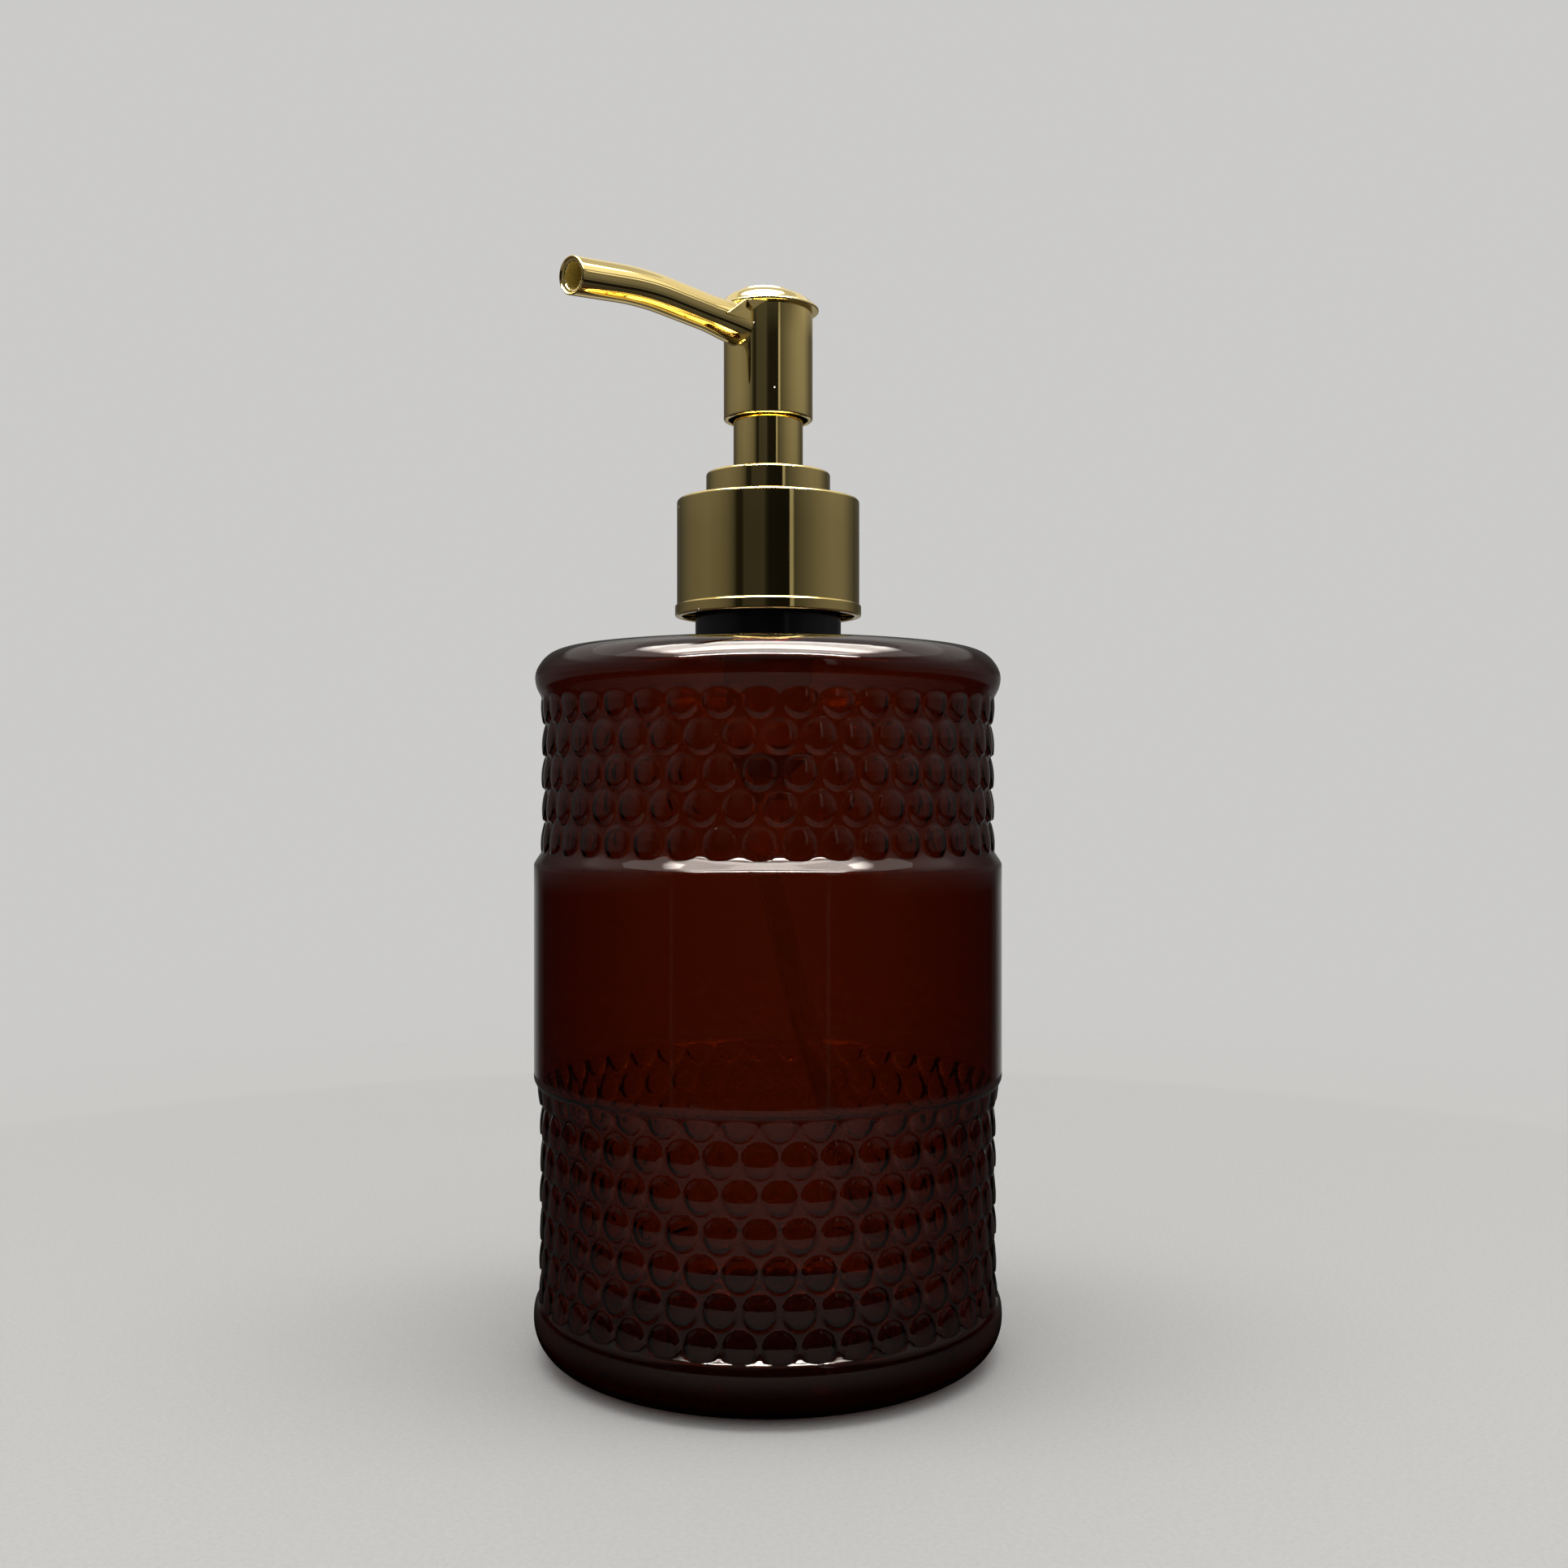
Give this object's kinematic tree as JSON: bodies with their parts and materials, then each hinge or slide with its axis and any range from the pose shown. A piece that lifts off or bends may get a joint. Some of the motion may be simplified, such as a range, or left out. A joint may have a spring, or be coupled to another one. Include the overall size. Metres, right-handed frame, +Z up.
{
  "type": "soap pump dispenser",
  "caption": "Translucent amber bottle with two bumped bands, a screw closure and a gold-look lotion pump with a bent spout.",
  "frame": {"origin": "centre of the bottle's base, on the surface it stands on", "axes": "+Z up along the axis of the bottle and the pump; the spout points along -X; +Y completes the right-handed frame"},
  "size_m": [0.0868, 0.0836, 0.1894],
  "materials": {
    "amber_plastic": "clear dark amber, glossy",
    "gold_plating": "metallised pale gold on plastic, bright",
    "black_plastic": "moulded, satin",
    "natural_plastic": "unpigmented, milky",
    "tube_plastic": "unpigmented, soft, translucent",
    "gasket_foam": "soft white washer",
    "spring_steel": "drawn wire",
    "ball_glass": "polished"
  },
  "bodies": {
    "bottle": {"bottle": "amber_plastic"},
    "pump_body": {"pump_housing": "natural_plastic", "gasket": "gasket_foam", "lock_ring": "gold_plating", "spring_seat": "natural_plastic", "dip_tube": "tube_plastic"},
    "closure": {"screw_cap": "black_plastic", "closure_cover": "gold_plating"},
    "ball": {"inlet_ball": "ball_glass"},
    "spring": {"return_spring": "spring_steel"},
    "plunger": {"stem": "natural_plastic", "valve_seat": "natural_plastic", "stem_sleeve": "gold_plating", "head": "gold_plating", "head_core": "natural_plastic", "top_cap": "gold_plating"},
    "piston": {"piston": "natural_plastic"}
  },
  "joints": [
    {"name": "closure_turn", "type": "hinge", "parent": "pump_body", "child": "closure", "pos_m": [0, 0, 0.14], "axis": [0, 0, 1], "range_deg": [0, 540]},
    {"name": "closure_rise", "type": "slide", "parent": "bottle", "child": "pump_body", "axis": [0, 0, 1], "range_m": [0, 0.00476]},
    {"name": "head_turn", "type": "hinge", "parent": "pump_body", "child": "spring", "pos_m": [0, 0, 0.17], "axis": [0, 0, 1], "continuous": true},
    {"name": "pump_press", "type": "slide", "parent": "spring", "child": "plunger", "axis": [0, 0, -1], "range_m": [0, 0.0094], "stiffness_N_per_m": 700, "springref_m": -0.004, "deforming": ["return_spring"]},
    {"name": "piston_slip", "type": "slide", "parent": "plunger", "child": "piston", "axis": [0, 0, 1], "range_m": [0, 0.0008]},
    {"name": "ball_lift", "type": "slide", "parent": "pump_body", "child": "ball", "axis": [0, 0, 1], "range_m": [0, 0.0015]}
  ],
  "couplings": [
    {"joint": "closure_turn", "follows": "closure_rise", "rad_per_m": 1979}
  ]
}
